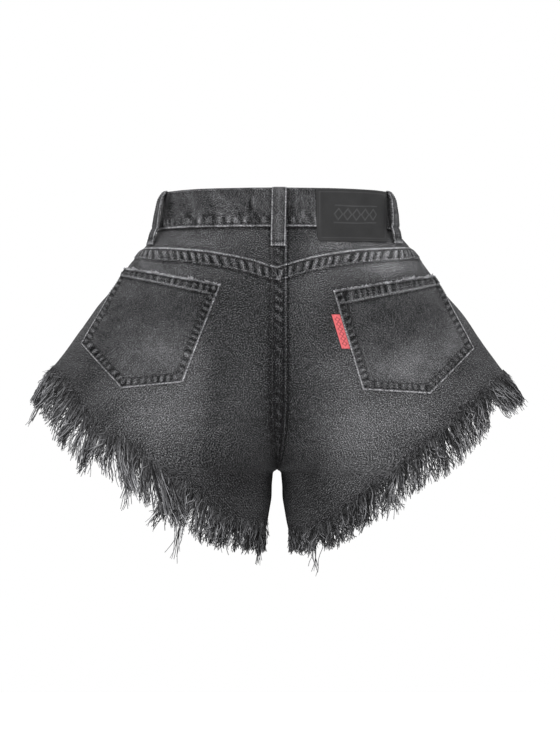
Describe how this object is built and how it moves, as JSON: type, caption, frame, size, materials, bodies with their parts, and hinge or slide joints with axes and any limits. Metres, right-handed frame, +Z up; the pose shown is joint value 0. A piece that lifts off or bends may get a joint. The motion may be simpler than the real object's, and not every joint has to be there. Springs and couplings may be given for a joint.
{
  "type": "denim shorts",
  "caption": "High-waisted, flared denim shorts with raw fringed hems, patch pockets, belt loops and a button fly, in a worn, filled-out form.",
  "frame": {"origin": "middle of the waist's ring, 14 mm under the waistband's upper edge", "axes": "+Z up; the front faces -Y; the wearer's left is +X"},
  "size_m": [0.4783, 0.2181, 0.3799],
  "materials": {
    "denim": "washed black twill, faded mid-panel, matt",
    "dark_denim": "washed black twill, worn pale along its edges",
    "leather": "dark grained leather, low sheen",
    "ribbon": "woven ribbon, coral red",
    "metal": "dark brushed metal",
    "tape": "black woven tape with a metal chain",
    "thread": "frayed cotton threads, dark and pale mixed"
  },
  "bodies": {
    "root": {"waistband": "denim", "yoke_left": "denim", "yoke_right": "denim", "back_left": "denim", "back_right": "denim", "front_left": "denim", "front_right": "denim", "pocket_facing_left": "denim", "pocket_facing_right": "denim", "back_pocket_left": "dark_denim", "back_pocket_right": "dark_denim", "belt_loop_back": "dark_denim", "belt_loop_side_left": "dark_denim", "belt_loop_side_right": "dark_denim", "belt_loop_front_left": "dark_denim", "belt_loop_front_right": "dark_denim", "waist_patch": "leather", "pocket_tab": "ribbon", "waist_button": "metal", "zip": "tape", "fringe_back_left": "thread", "fringe_back_right": "thread", "fringe_front_left": "thread", "fringe_front_right": "thread"}
  },
  "joints": []
}
